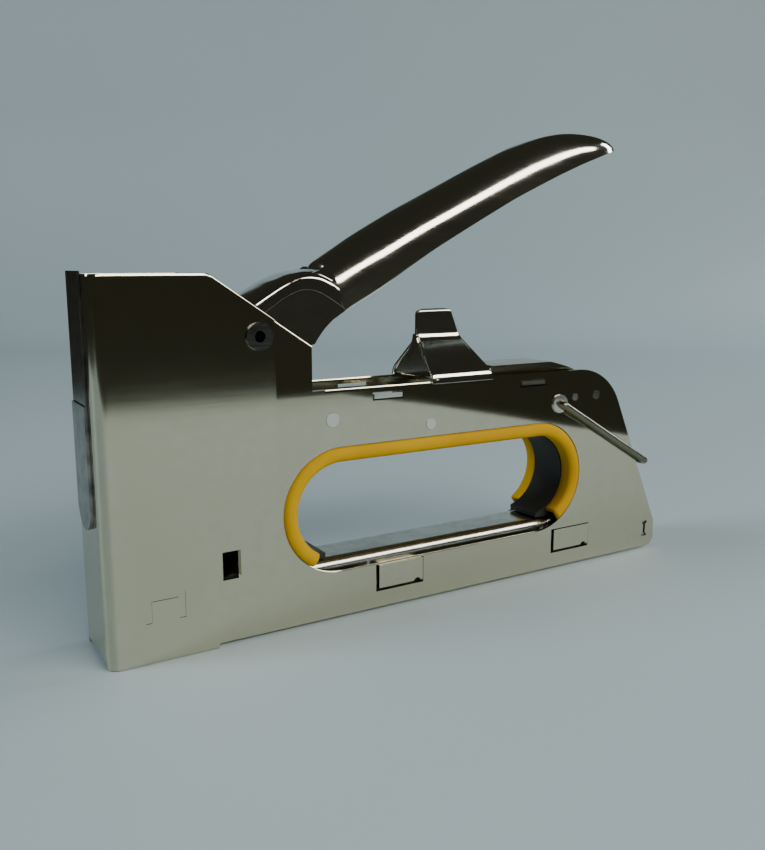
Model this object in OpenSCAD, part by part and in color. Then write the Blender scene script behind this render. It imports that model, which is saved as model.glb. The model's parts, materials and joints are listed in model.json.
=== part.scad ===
// Hand staple gun: lever handle, spring driven striker, rear loading magazine.
// Frame: X runs from nose to rear, Y across, Z up. The origin is the staple outlet
// in the middle of the nose's lower end. Lengths are millimetres.

/* [Body] */
// Distance from the front of the nose to the rear end of the body
body_len = 175.4; // [160:0.2:200]
// Height of the deck above the base
deck_z = 60; // [56:0.5:66]
// Width over the two side shells
shell_w = 19.6; // [18.8:0.1:22]
// Sheet thickness of the side shells
shell_t = 0.9; // [0.7:0.1:1.2]
// Radius of the body's upper rear corner
rear_r = 18; // [12:1:22]
// Lean of the body's rear edge from the vertical
rear_lean = 24.5; // [18:0.5:28]
// Gap between the base and the lower edge of the shells
shell_lift = 0.6; // [0.3:0.1:1]

/* [Nose] */
// Height of the nose above the base
nose_h = 88.5; // [84:0.5:92]
// Length of the flat top of the nose, from its front
nose_top_len = 26.4; // [24:0.2:30]
// Length of the nose at the deck, from its front
nose_len = 52.4; // [50:0.2:56]
// Height at which the sloping top edge meets the nose's rear edge
nose_rear_z = 71; // [68:0.5:74]
// Outer radius of the sleeve's upright front corners
nose_r = 3; // [2.2:0.1:4]
// Sheet thickness of the nose sleeve
sleeve_t = 0.85; // [0.6:0.05:1.1]

/* [Finger hole] */
// Overall length of the opening cut in the shells
hole_len = 97.8; // [90:0.2:100]
// Overall height of the opening cut in the shells
hole_h = 32.8; // [30:0.2:34]
// Height of the middle of the opening above the base
hole_z = 29; // [28:0.2:31]
// Width of the coloured trim round the opening
trim_w = 3.9; // [3:0.1:5]
// Height of the trim above the shell's face
trim_proud = 0.9; // [0.5:0.1:1.5]

/* [Handle] */
// Height of the handle pivot above the base
pivot_z = 74; // [72:0.5:75]
// Distance from the staple outlet back to the handle pivot
pivot_x = 36; // [34:0.5:38]
// Slope of the handle's straight part when released
handle_slope = 28.2; // [26:0.2:30]
// Squeeze angle from released to fully closed
handle_swing = 26; // [20:1:26]
// Width over the lever's two cheeks
lever_w = 16.8; // [16:0.1:17]
// Sheet thickness of the lever and of the grip cover
lever_t = 1.2; // [1:0.1:1.4]
// Height of the grip cover's section
grip_h = 11.2; // [10.5:0.1:12.5]
// Radius of the grip cover's top corners
grip_r = 8.5; // [6:0.5:9]

/* [Magazine] */
// Width over the magazine housing
rail_w = 13.8; // [13.4:0.1:14.6]
// Height of the housing's top above the base
rail_z = 15.2; // [14.6:0.1:16]
// Sheet thickness of the housing
rail_t = 1.1; // [0.9:0.1:1.2]
// Inside width of the staples it takes
staple_w = 9.2; // [8.8:0.1:9.6]
// Leg length of the staples it takes
staple_leg = 8; // [4:1:8]

/* [Wire lock] */
// Wire diameter of the handle lock
bail_d = 2; // [1.6:0.1:2.4]
// Reach of the handle lock from its hinge
bail_len = 42.5; // [40:0.5:46]
// Angle of the handle lock below the horizontal when folded down
bail_drop = 30.4; // [28:0.2:34]

/* [Drive] */
// Thickness of the striker blade
blade_t = 1; // [0.8:0.1:1.2]
// Outside diameter of the power spring
spring_d = 11.2; // [10:0.1:11.6]
// Wire diameter of the power spring
spring_wire = 2.2; // [1.8:0.1:2.4]
// Number of turns in the power spring
spring_turns = 8; // [6:1:9]

/* [Hidden] */
$fn = 64;

slip = 0.05;
gap = 0.3;
far = 200;

// Body planes
front_x = -2.4;
rear_x = front_x + body_len;
shell_y = shell_w / 2;
shell_in = shell_y - shell_t;
sleeve_in = shell_y + slip;
sleeve_y = sleeve_in + sleeve_t;
fill_y = shell_in - slip;
nose_top_x = front_x + nose_top_len;
nose_rear_x = front_x + nose_len;
slope_dir = atan2(nose_h - nose_rear_z, nose_rear_x - nose_top_x);
shell_front_x = 0.5;
front_wall_in = front_x + sleeve_t + slip;

// Rear outline
rear_cx = rear_x - 35;
rear_cz = deck_z - rear_r;
rear_tx = rear_cx + rear_r * cos(rear_lean);
rear_tz = rear_cz + rear_r * sin(rear_lean);
rear_low_z = rear_tz - (rear_x - rear_tx) / tan(rear_lean);
heel_r = 3;

// Sleeve outline
sleeve_rear_x = nose_rear_x - 10;
sleeve_step_x = nose_top_x;
sleeve_step_z = 17;
front_lift = 1.8;
window_x = sleeve_step_x + 1.6;
window_z = sleeve_step_z - 0.8;
window_w = 4;
window_h = 7;
mark_x = 6.6;
mark_z = 9.6;
mark_w = 9.4;
mark_h = 6.6;
mark_line = 1.5;
mark_depth = 0.2;

// Finger hole
hole_r = hole_h / 2;
hole_x0 = nose_rear_x - 8.4 + hole_r;
hole_x1 = hole_x0 + hole_len - hole_h;
trim_fit = 0.15;
trim_y = shell_y + trim_proud;
trim_collar = 5.9;
trim_cut = 6;
liner_cut = 3;
collar_w = 1.5;
liner_w = 2.6;
rail_gap = 0.4;

// Handle
pivot_r = 2.5;
pivot_fit = 0.05;
lever_y = lever_w / 2;
lever_in = lever_y - lever_t;
cover_in = lever_y + slip;
cover_y = cover_in + lever_t;
boss_r = 6.5;
hand_x0 = pivot_x + 20;
hand_z0 = pivot_z + 17;
hand_len = 65;
hand_arc_r = 52;
hand_arc = 50;
hand_tip = 38;
tongue_len = 44;
tongue_z = grip_r * 0.93;
web_dip = 5;
web_len = 14;

// Drive
blade_w = 10.4;
blade_gap = 0.35;
blade_x0 = -blade_t / 2;
plate_x1 = blade_x0 - blade_gap;
carrier_x0 = blade_t / 2 + slip;
carrier_t = 0.9;
carrier_side_gap = 0.4;
carrier_y = lever_in - carrier_side_gap;
carrier_z = 45;
carrier_h = 21;
seat_t = 1.6;
spring_x = carrier_x0 + carrier_t + gap + spring_d / 2;
spring_z0 = carrier_z + seat_t + slip;
cap_t = 2;
cap_z = nose_h - 0.2 - cap_t;
spring_z1 = cap_z - slip;
ear_r = 2;
ear_z = 60;
ear_dx = pivot_x - spring_x;
ear_angle = atan2(pivot_z - ear_z, ear_dx);
fork_gap = 0.55;
fork_end = 1.2;
fork_r = pivot_x - carrier_x0 - 0.6;

// Magazine
rail_y = rail_w / 2;
rail_r = 2.4;
rail_bottom = 1.5;
rail_x0 = blade_t / 2 + 0.4;
rail_x1 = rear_x - 14;
core_y = staple_w / 2 - 0.2;
core_t = 1;
core_z = rail_bottom + staple_leg;
core_x1 = rail_x1 - 1;
slot_y = 1.3;
rod_r = 1.2;
rod_z = 5.4;
pusher_x = rail_x0 + 0.4;
pusher_len = 14;
web_y = 0.9;
eye_r = 2.5;
eye_len = 4;
catch_x0 = rail_x1 + 0.6;
catch_x1 = rear_x - 0.4;
coil_r = 1.9;
coil_wire = 0.6;
coil_turns = 26;

// Deck
deck_t = 1.2;
deck_top = deck_z - 2;
tab_x = [nose_rear_x + 17.5, rear_cx - 22];
tab_len = 8.4;
tab_slot = 0.45;

// Handle stop
stop_x0 = nose_rear_x + 35.3;
stop_x1 = stop_x0 + 19.7;
stop_t = 0.9;
stop_skirt = 0.6;
stop_fin_z = deck_z + 18.7;
stop_fin_x0 = stop_x0 + 1.4;
stop_fin_x1 = stop_x0 + 12.4;
stop_bend_z = deck_z + 10.8;

// Clips
clip_x = [hole_x0 + 10, hole_x1 + 6];
clip_len = 15;
clip_z0 = 5;
clip_h = 7.4;

// Wire lock
bail_x = rear_cx - 7.5;
bail_z = deck_z - 9.5;
bail_y = shell_y + 0.5 + bail_d / 2;
bail_bend = 2.6;
bail_pin_in = shell_in - 1;
eyelet_r = 2.7;
eyelet_t = 0.35;
eyelet_fit = 0.05;
eyelet_wall = 0.7;

module side(y0, y1) {
    translate([0, y1, 0]) rotate([90, 0, 0]) linear_extrude(y1 - y0) children();
}

module across(half) {
    side(-half, half) children();
}

module rod_y(x, z, r, y0, y1) {
    side(y0, y1) translate([x, z]) circle(r);
}

// Side outline of the whole body
module body_outline() {
    union() {
        polygon([
            [shell_front_x, shell_lift], [rear_x - heel_r, shell_lift],
            [rear_x, shell_lift + heel_r], [rear_x, rear_low_z], [rear_tx, rear_tz],
            [rear_cx, rear_cz], [rear_cx, deck_z], [nose_rear_x, deck_z],
            [nose_rear_x, nose_rear_z], [nose_top_x, nose_h - 0.2],
            [shell_front_x, nose_h - 0.2]
        ]);
        translate([rear_cx, rear_cz]) circle(rear_r);
        translate([rear_x - heel_r, shell_lift + heel_r]) circle(heel_r);
    }
}

// Long round-ended shape of the finger hole, grown inwards by inset
module hole_outline(inset) {
    r = hole_r - inset;
    translate([hole_x0, hole_z]) circle(r);
    translate([hole_x1, hole_z]) circle(r);
    translate([hole_x0, hole_z - r]) square([hole_x1 - hole_x0, 2 * r]);
}

module clip_windows(grow) {
    for (x = clip_x)
        translate([x - grow, clip_z0 - grow])
            square([clip_len + 2 * grow, clip_h + 2 * grow]);
}

// I-shaped slot near the lower rear corner
module catch_slot() {
    bar = 0.9;
    foot = 2.1;
    height = 5;
    z0 = 4;
    translate([rear_x - 5.2, z0]) square([foot, bar]);
    translate([rear_x - 5.2, z0 + height - bar]) square([foot, bar]);
    translate([rear_x - 5.2 + (foot - bar) / 2, z0]) square([bar, height]);
}

module shell_outline() {
    difference() {
        body_outline();
        hole_outline(0);
        clip_windows(0);
        for (x = tab_x)
            translate([x - tab_slot, deck_top - deck_t - tab_slot])
                square([tab_len + 2 * tab_slot, deck_t + 2 * tab_slot]);
        translate([pivot_x, pivot_z]) circle(pivot_r + slip);
        translate([bail_x, bail_z]) circle(bail_d / 2 + eyelet_fit + eyelet_wall + slip);
        translate([window_x, window_z]) square([window_w, window_h]);
        catch_slot();
        rivet_spots(slip);
    }
}

module left_shell() {
    color("silver") side(-shell_y, -shell_in) shell_outline();
}

module right_shell() {
    color("silver") side(shell_in, shell_y) shell_outline();
}

// Plan view of the nose sleeve: a flat front with rounded corners and open rear
module sleeve_plan(y, x0, r) {
    translate([x0 + r, y - r]) circle(r);
    translate([x0 + r, r - y]) circle(r);
    translate([x0, r - y]) square([r, 2 * (y - r)]);
    translate([x0 + r, -y]) square([far, 2 * y]);
}

module sleeve_outline() {
    difference() {
        polygon([
            [front_x - 1, 0], [sleeve_step_x, 0], [sleeve_step_x, sleeve_step_z],
            [sleeve_rear_x, sleeve_step_z],
            [sleeve_rear_x, nose_h - (sleeve_rear_x - nose_top_x) * tan(slope_dir)],
            [nose_top_x, nose_h], [front_x - 1, nose_h]
        ]);
        translate([pivot_x, pivot_z]) circle(pivot_r + slip);
        translate([window_x - gap, window_z - gap])
            square([window_w + 2 * gap, window_h + 2 * gap]);
    }
}

// Open staple mark cut lightly in both flanks
module staple_mark() {
    difference() {
        translate([mark_x, mark_z]) square([mark_w, mark_h]);
        translate([mark_x + mark_line, mark_z - 1])
            square([mark_w - 2 * mark_line, mark_h + 1 - mark_line]);
    }
}

module nose_sleeve() {
    color("silver") difference() {
        intersection() {
            across(far) sleeve_outline();
            linear_extrude(nose_h) difference() {
                sleeve_plan(sleeve_y, front_x, nose_r);
                sleeve_plan(sleeve_in, front_x + sleeve_t, nose_r - sleeve_t);
            }
        }
        translate([front_x - 1, -shell_in, -1])
            cube([nose_r, 2 * shell_in, front_lift + 1]);
        side(-far, mark_depth - sleeve_y) staple_mark();
        side(sleeve_y - mark_depth, far) staple_mark();
    }
}

module nose_cap() {
    post_r = spring_d / 2 - spring_wire - 0.5;
    post_h = 9;
    color("dimgray") {
        translate([shell_front_x, -fill_y, cap_z])
            cube([nose_top_x - shell_front_x - 0.3, 2 * fill_y, cap_t]);
        translate([spring_x, 0, cap_z - post_h]) cylinder(h = post_h + 1, r = post_r);
    }
}

module front_plate() {
    half = sleeve_y - nose_r - 0.1;
    color("dimgray") translate([front_wall_in, -half, front_lift])
        cube([plate_x1 - front_wall_in, 2 * half, nose_h - 0.4 - front_lift]);
}

module front_cover() {
    half = 6;
    cover_t = 0.45;
    pad_t = 0.35;
    low_z = 31;
    pad_z = 60;
    top_z = nose_h + 0.6;
    color("gray") {
        translate([front_x - slip, 0, 0]) rotate([90, 0, -90]) {
            linear_extrude(cover_t) {
                translate([-half, low_z + half]) square([2 * half, top_z - low_z - half]);
                translate([0, low_z + half]) circle(half);
            }
            linear_extrude(cover_t + pad_t) {
                translate([-half, low_z + half]) square([2 * half, pad_z - low_z - half]);
                translate([0, low_z + half]) circle(half);
            }
        }
    }
}

module blade_guide() {
    z1 = carrier_z - 4.4;
    color("dimgray") translate([rail_x0, -fill_y, rail_z + slip])
        cube([13, 2 * fill_y, z1 - rail_z - slip]);
}

module driver_bumper() {
    z0 = carrier_z - 4.4 + slip;
    color("black") translate([rail_x0 + 0.3, -5.6, z0])
        cube([12.2, 11.2, carrier_z - z0 - slip]);
}

module handle_pivot() {
    head_r = 3.3;
    head_t = 0.6;
    bore_r = 1.35;
    color("silver") difference() {
        union() {
            rod_y(pivot_x, pivot_z, pivot_r, -sleeve_y - slip, sleeve_y + slip);
            rod_y(pivot_x, pivot_z, head_r, -sleeve_y - slip - head_t, -sleeve_y - slip);
            rod_y(pivot_x, pivot_z, head_r, sleeve_y + slip, sleeve_y + slip + head_t);
        }
        rod_y(pivot_x, pivot_z, bore_r, -far, far);
    }
}

// Places a shape drawn in the lever's own frame: pivot at zero, X to the rear
module at_pivot() {
    translate([pivot_x, pivot_z]) children();
}

// Places a shape drawn in the grip cover's own frame: front end at zero, X along it
module at_grip() {
    translate([hand_x0, hand_z0]) rotate(handle_slope) children();
}

// Upper edge of the lever's cheeks, which dips where the grip cover starts
cheek_top = [
    [pivot_x + 1.6, pivot_z + 7.2], [pivot_x + 4.2, pivot_z + 9],
    [pivot_x + 7.4, pivot_z + 11.1], [pivot_x + 9.6, pivot_z + 12.3],
    [pivot_x + 11.8, pivot_z + 13.1], [pivot_x + 13.9, pivot_z + 13.3],
    [hand_x0 - 2.8, hand_z0 - 4.3], [hand_x0 - 0.6, hand_z0 - 5.3]
];

// Lower edge of the lever's cheeks, a hollow curve from the grip cover to the pivot
cheek_low = [
    [hand_x0 + 2.3, hand_z0 - 12.9], [hand_x0 + 0.6, hand_z0 - 13.9],
    [hand_x0 - 0.5, hand_z0 - 14.9], [hand_x0 - 1.6, hand_z0 - 15.9],
    [hand_x0 - 2.7, hand_z0 - 17.2], [hand_x0 - 3.6, hand_z0 - 18.4],
    [hand_x0 - 4.4, hand_z0 - 19.6], [pivot_x + 6, pivot_z - 5.2]
];

// Upper face of the lever's top wall, which runs up to the front of the grip cover
web_top = [
    [pivot_x + 1.6, pivot_z + 7.1], [pivot_x + 4.2, pivot_z + 8.9],
    [pivot_x + 7.4, pivot_z + 11], [pivot_x + 11.8, pivot_z + 13],
    [hand_x0 - 5, hand_z0 - 2.8], [hand_x0 - 1.8, hand_z0 - 1.7]
];

// Side outline of the lever's cheeks: boss, striker fork, neck and the tongue that
// runs back inside the grip cover
module cheek_outline() {
    fork_h = 10.8;
    low = grip_h - 0.3;
    union() {
        at_pivot() circle(boss_r);
        at_pivot() rotate(ear_angle) intersection() {
            translate([-fork_r, -fork_h / 2]) square([fork_r, fork_h]);
            circle(fork_r);
        }
        polygon(concat([[pivot_x - 4, pivot_z + 6.8]], cheek_top, [
            [hand_x0 + 1.3, hand_z0 - 5.8], [hand_x0 + 5, hand_z0 - 10]
        ], cheek_low));
        at_grip() polygon([
            [-3, -tongue_z - 2], [-0.3, -tongue_z], [tongue_len, -tongue_z],
            [tongue_len, -low], [8, -low], [1, -grip_h - 1.1], [-4, -grip_h - 1.2]
        ]);
    }
}

// The lever's top wall between its cheeks, with a step down inside the grip cover
module web_outline() {
    n = len(web_top);
    low = [for (i = [n - 1 : -1 : 0]) web_top[i] - [0, lever_t]];
    union() {
        polygon(concat(web_top, low));
        at_grip() polygon([
            [-3, -1.2], [-0.3, -1], [-0.3, -web_dip], [web_len, -web_dip],
            [web_len, -web_dip - lever_t], [-4, -web_dip - lever_t], [-5, -2]
        ]);
    }
}

// The lever's cheek with its pivot bore and the fork that carries the driver's ear
module cheek_profile() {
    difference() {
        cheek_outline();
        at_pivot() circle(pivot_r + pivot_fit);
        at_pivot() rotate(ear_angle) translate([-far, -ear_r - fork_gap])
            square([far - ear_dx + ear_r + fork_end, 2 * (ear_r + fork_gap)]);
    }
}

module lever_arm() {
    color("gray") {
        side(-lever_y, -lever_in) cheek_profile();
        side(lever_in, lever_y) cheek_profile();
        across(lever_in + slip) web_outline();
    }
}

// Everything below the grip cover's lower edge, which droops towards the tip
module grip_low_side() {
    tip_x = hand_len + hand_tip + 1;
    polygon([
        [-far, -far], [tip_x, -far], [tip_x, -grip_h - 5.6],
        [hand_len + 22, -grip_h - 2.9], [hand_len + 8, -grip_h - 1],
        [hand_len - 8, -grip_h], [-far, -grip_h]
    ]);
}

// Rounded channel section swept straight and then round the arc
module grip_section(inset) {
    y = cover_y - inset;
    r = grip_r - inset;
    translate([-y, -grip_h - grip_r]) square([2 * y, grip_h]);
    translate([-y + r, -grip_r]) square([2 * (y - r), grip_r - inset]);
    for (s = [-1, 1])
        translate([s * (y - r), -grip_r]) circle(r);
}

module grip_solid(inset, x0) {
    translate([x0, 0, 0]) rotate([90, 0, 90]) linear_extrude(hand_len - x0)
        grip_section(inset);
    translate([hand_len, 0, -hand_arc_r]) rotate([90, 0, 0]) rotate([0, 0, 90])
        rotate_extrude(angle = -hand_arc)
            translate([hand_arc_r, 0]) rotate(-90) grip_section(inset);
}

// Plan outline of the cover with its rounded tip
module grip_plan(inset) {
    y = cover_y - inset;
    r = y * 0.94;
    x1 = hand_len + hand_tip - inset - r;
    translate([x1, 0]) circle(r);
    translate([-2, -y - 1]) square([x1 + 2, 2 * y + 2]);
}

module grip_cover() {
    color("gray") translate([hand_x0, 0, hand_z0]) rotate([0, -handle_slope, 0])
        difference() {
            intersection() {
                grip_solid(0, 0);
                translate([0, 0, -far / 2]) linear_extrude(far) grip_plan(0);
            }
            intersection() {
                grip_solid(lever_t, -1);
                translate([0, 0, -far / 2]) linear_extrude(far) grip_plan(lever_t);
            }
            across(cover_y + 1) grip_low_side();
        }
}

module driver_blade() {
    color("silver") translate([blade_x0, -blade_w / 2, 0.4])
        cube([blade_t, blade_w, carrier_z + carrier_h - 2]);
}

module driver_carrier() {
    depth = spring_d + 1.4;
    color("dimgray") {
        translate([carrier_x0, -carrier_y, carrier_z]) cube([depth, 2 * carrier_y, seat_t]);
        translate([carrier_x0, -carrier_y, carrier_z])
            cube([carrier_t, 2 * carrier_y, carrier_h]);
        for (s = [-1, 1]) {
            translate([carrier_x0, s * (carrier_y - carrier_t / 2) - carrier_t / 2, carrier_z])
                cube([depth, carrier_t, carrier_h]);
            rod_y(spring_x, ear_z, ear_r, min(s * carrier_y, s * (lever_y + 0.1)),
                max(s * carrier_y, s * (lever_y + 0.1)));
        }
    }
}

// Round wire wound on a cylinder of radius r round Z, from zero to height h
module helix(r, wire, h, turns, sides, steps) {
    n = turns * steps;
    travel = h - wire;
    ring = [for (i = [0 : n]) for (j = [0 : sides - 1])
        let (a = 360 * i / steps, b = 360 * j / sides,
             q = r + wire / 2 * cos(b))
        [q * cos(a), q * sin(a), wire / 2 + travel * i / n + wire / 2 * sin(b)]];
    low = [for (i = [0 : n - 1]) for (j = [0 : sides - 1])
        [i * sides + j, i * sides + (j + 1) % sides, (i + 1) * sides + (j + 1) % sides]];
    high = [for (i = [0 : n - 1]) for (j = [0 : sides - 1])
        [i * sides + j, (i + 1) * sides + (j + 1) % sides, (i + 1) * sides + j]];
    cap0 = [for (j = [0 : sides - 1]) sides - 1 - j];
    cap1 = [for (j = [0 : sides - 1]) n * sides + j];
    polyhedron(ring, concat([cap0], low, high, [cap1]), convexity = 10);
}

module power_spring() {
    color("dimgray") translate([spring_x, 0, spring_z0])
        helix((spring_d - spring_wire) / 2, spring_wire, spring_z1 - spring_z0,
            spring_turns, 8, 24);
}

module deck_plate() {
    color("dimgray") {
        translate([nose_rear_x - 4, -fill_y, deck_top - deck_t])
            cube([rear_cx - nose_rear_x + 2, 2 * fill_y, deck_t]);
        for (x = tab_x)
            translate([x, -shell_y - 0.15, deck_top - deck_t])
                cube([tab_len, 2 * shell_y + 0.3, deck_t]);
    }
}

// Half profile of the bent stop bracket, across the tool
module stop_section() {
    y = shell_y + slip;
    fin = stop_t;
    difference() {
        polygon([
            [-y - stop_t, deck_z - stop_skirt], [-y - stop_t, deck_z + 1.4],
            [-fin, stop_bend_z + 0.5], [-fin, stop_fin_z], [fin, stop_fin_z],
            [fin, stop_bend_z + 0.5], [y + stop_t, deck_z + 1.4],
            [y + stop_t, deck_z - stop_skirt]
        ]);
        polygon([
            [-y, deck_z - stop_skirt - 1], [-y, deck_z + 0.9], [0, stop_bend_z - 0.5],
            [y, deck_z + 0.9], [y, deck_z - stop_skirt - 1]
        ]);
    }
}

module stop_side() {
    r = 2;
    polygon([
        [stop_x0, deck_z - 5], [stop_x1, deck_z - 5], [stop_x1, deck_z + 1.6],
        [stop_fin_x1 + 2.6, stop_bend_z], [stop_fin_x1, stop_fin_z - r],
        [stop_fin_x0, stop_fin_z - r], [stop_fin_x0, stop_bend_z - 1],
        [stop_x0, deck_z + 3]
    ]);
    translate([stop_fin_x0 + r, stop_fin_z - r]) circle(r);
    translate([stop_fin_x1 - r, stop_fin_z - r]) circle(r);
    translate([stop_fin_x0 + r, stop_fin_z - r])
        square([stop_fin_x1 - stop_fin_x0 - 2 * r, r]);
}

// End wall of the stop that faces the nose, hollowed on both sides
module stop_wall() {
    y = shell_y + slip + 0.2;
    polygon([
        [-y, deck_z + slip], [-y, deck_z + 1], [-y * 0.62, deck_z + 4],
        [-y * 0.3, deck_z + 8], [-stop_t, stop_bend_z + 1.5], [stop_t, stop_bend_z + 1.5],
        [y * 0.3, deck_z + 8], [y * 0.62, deck_z + 4], [y, deck_z + 1], [y, deck_z + slip]
    ]);
}

module handle_stop() {
    color("silver") {
        intersection() {
            rotate([90, 0, 90]) linear_extrude(far) stop_section();
            across(far) stop_side();
        }
        translate([stop_fin_x0, 0, 0]) rotate([90, 0, 90]) linear_extrude(stop_t)
            stop_wall();
    }
}

module back_cover() {
    t = 1;
    edge = 0.25;
    open_z = rail_z + 2;
    hump_y = 6;
    hump_x0 = stop_x1 + 1.5;
    hump_h = 2.5;
    color("gray") {
        side(-fill_y, fill_y) difference() {
            translate([rear_cx, rear_cz]) circle(rear_r - edge);
            translate([rear_cx, rear_cz]) circle(rear_r - edge - t);
            translate([rear_cx - far, rear_cz - far]) square([far, 2 * far]);
            translate([rear_cx - far, rear_cz - far]) square([2 * far, far]);
            translate([rear_cx, rear_cz]) rotate(rear_lean) translate([0, -far])
                square([far, far]);
        }
        side(-fill_y, fill_y) intersection() {
            translate([rear_cx, rear_cz]) rotate(rear_lean)
                translate([rear_r - edge - t, -far]) square([t, far + 0.2]);
            translate([0, open_z]) square([far, far]);
        }
        side(-hump_y, hump_y) polygon([
            [hump_x0, deck_top + slip], [hump_x0, deck_z + hump_h - 1],
            [hump_x0 + 2, deck_z + hump_h], [rear_cx - 8, deck_z + hump_h],
            [rear_cx - 2, deck_z + hump_h - 1.6], [rear_cx + 1.5, deck_z - edge - 0.1],
            [rear_cx + 0.5, deck_z - edge - t], [rear_cx - 3, deck_z - edge - t],
            [rear_cx - 3, deck_top + slip]
        ]);
    }
}

module rail_section(y, z1, r) {
    translate([-y, rail_bottom]) square([2 * y, z1 - rail_bottom - r]);
    translate([-y + r, z1 - r - 0.01]) square([2 * (y - r), r + 0.01]);
    for (s = [-1, 1])
        translate([s * (y - r), z1 - r]) circle(r);
}

module magazine_housing() {
    color("silver") translate([rail_x0, 0, 0]) rotate([90, 0, 90])
        linear_extrude(rail_x1 - rail_x0) difference() {
            rail_section(rail_y, rail_z, rail_r);
            translate([0, -0.01]) rail_section(rail_y - rail_t, rail_z - rail_t,
                rail_r - rail_t);
            translate([-rail_y + rail_t, 0]) square([2 * (rail_y - rail_t), rail_bottom + 1]);
        }
}

module rail_clips() {
    lip = 0.35;
    web_z = clip_z0 + clip_h - 1.2;
    color("silver") for (x = clip_x) for (s = [-1, 1]) {
        y0 = s > 0 ? shell_in - 0.1 : -shell_y - lip;
        y1 = s > 0 ? shell_y + lip : -shell_in + 0.1;
        side(y0, y1) difference() {
            translate([x + 0.8, clip_z0 + 0.9])
                square([clip_len - 1.2, clip_h - 1.1]);
            translate([x + clip_len - 2.2, clip_z0 + 0.6]) circle(1.1);
        }
        side(s > 0 ? rail_y + slip : -shell_in + 0.05 - slip, s > 0 ? shell_in - 0.05 + slip
            : -rail_y - slip) translate([x + 2, web_z]) square([clip_len - 4, 1]);
    }
}

module staple_core() {
    color("gray") difference() {
        translate([rail_x0, -core_y, rail_bottom])
            cube([core_x1 - rail_x0, 2 * core_y, core_z - rail_bottom]);
        translate([rail_x0 - 1, -core_y + core_t, rail_bottom - 1])
            cube([far, 2 * (core_y - core_t), core_z - rail_bottom + 1 - core_t]);
        translate([rail_x0 + 1.5, -slot_y, rail_bottom]) cube([far, 2 * slot_y, far]);
    }
}

module pusher() {
    leg_y0 = core_y + 0.25;
    leg_y1 = rail_y - rail_t - 0.3;
    top_z = core_z + 0.3;
    roof = 1;
    color("dimgray") difference() {
        union() {
            translate([pusher_x, -leg_y1, rail_bottom + 1.5])
                cube([pusher_len, 2 * leg_y1, top_z + roof - rail_bottom - 1.5]);
        }
        translate([pusher_x - 1, -leg_y0, 0]) cube([far, 2 * leg_y0, top_z]);
    }
    color("dimgray") difference() {
        union() {
            translate([pusher_x + 2.4, -web_y, rod_z]) cube([eye_len, 2 * web_y,
                top_z + 0.2 - rod_z]);
            translate([pusher_x + 2.4, 0, rod_z]) rotate([0, 90, 0])
                cylinder(h = eye_len, r = eye_r);
        }
        translate([pusher_x, 0, rod_z]) rotate([0, 90, 0])
            cylinder(h = 2 * eye_len + 4, r = rod_r + 0.1);
    }
}

module pusher_spring() {
    x0 = pusher_x + 2.4 + eye_len + 0.1;
    color("silver") translate([x0, 0, rod_z]) rotate([0, 90, 0])
        helix(coil_r, coil_wire, catch_x0 - 0.1 - x0, coil_turns, 5, 12);
}

module pusher_rod() {
    color("silver") translate([pusher_x + 1, 0, rod_z]) rotate([0, 90, 0])
        cylinder(h = catch_x0 + 3 - pusher_x - 1, r = rod_r);
}

module magazine_catch() {
    half = rail_y;
    ridge = 0.8;
    color("gray") difference() {
        intersection() {
            translate([catch_x0, -half, rail_bottom]) cube([catch_x1 - catch_x0,
                2 * half, rail_z - rail_bottom]);
            across(far) translate([-0.4, 0]) body_outline();
        }
        translate([catch_x0 - 1, 0, rod_z]) rotate([0, 90, 0])
            cylinder(h = 5, r = rod_r + 0.03);
        // thumb groove across the rear face
        for (z = [9, 11.5])
            translate([catch_x1 - ridge, -far, z]) cube([far, 2 * far, 1]);
    }
}

// Ring round the opening, cut away below where the magazine housing runs through
module trim_ring(in0, in1, cut) {
    difference() {
        hole_outline(in0);
        hole_outline(in1);
        translate([-far, rail_z + rail_gap - far]) square([2 * far, far]);
        translate([hole_x0 - cut, hole_z - far]) square([hole_x1 - hole_x0 + 2 * cut, far]);
    }
}

module grip_trim(s) {
    y0 = trim_collar;
    y1 = shell_in + slip;
    color("orange") mirror([0, s > 0 ? 0 : 1, 0]) {
        side(y1, trim_y) trim_ring(trim_fit, trim_w, trim_cut);
        side(y0, y1 + 0.01) trim_ring(trim_w - collar_w, trim_w, trim_cut);
    }
}

module grip_trim_left() {
    grip_trim(-1);
}

module grip_trim_right() {
    grip_trim(1);
}

module grip_liner() {
    color("black") across(trim_collar - slip) trim_ring(trim_w - liner_w, trim_w + 0.1,
        liner_cut);
}

// Round fasteners that join the shells, as spots in the side outline
module rivet_spots(grow) {
    spots = [
        [nose_rear_x + 5.5, deck_z - 7.5, 1.8], [hole_x0 + 27, deck_z - 11.2, 1.5],
        [rear_cx - 1.5, deck_z - 8, 1.1], [rear_cx + 7, deck_z - 8, 1.3]
    ];
    for (spot = spots)
        translate([spot[0], spot[1]]) circle(spot[2] + grow);
}

module shell_rivets() {
    color("silver") across(shell_y + 0.12) rivet_spots(0);
}

module bail_eyelets() {
    bore = bail_d / 2 + eyelet_fit;
    color("silver") for (s = [-1, 1]) mirror([0, s > 0 ? 0 : 1, 0]) difference() {
        union() {
            rod_y(bail_x, bail_z, bore + eyelet_wall, shell_in + 0.1, shell_y + slip + 0.01);
            rod_y(bail_x, bail_z, eyelet_r, shell_y + slip, shell_y + slip + eyelet_t);
        }
        rod_y(bail_x, bail_z, bore, 0, far);
    }
}

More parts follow.
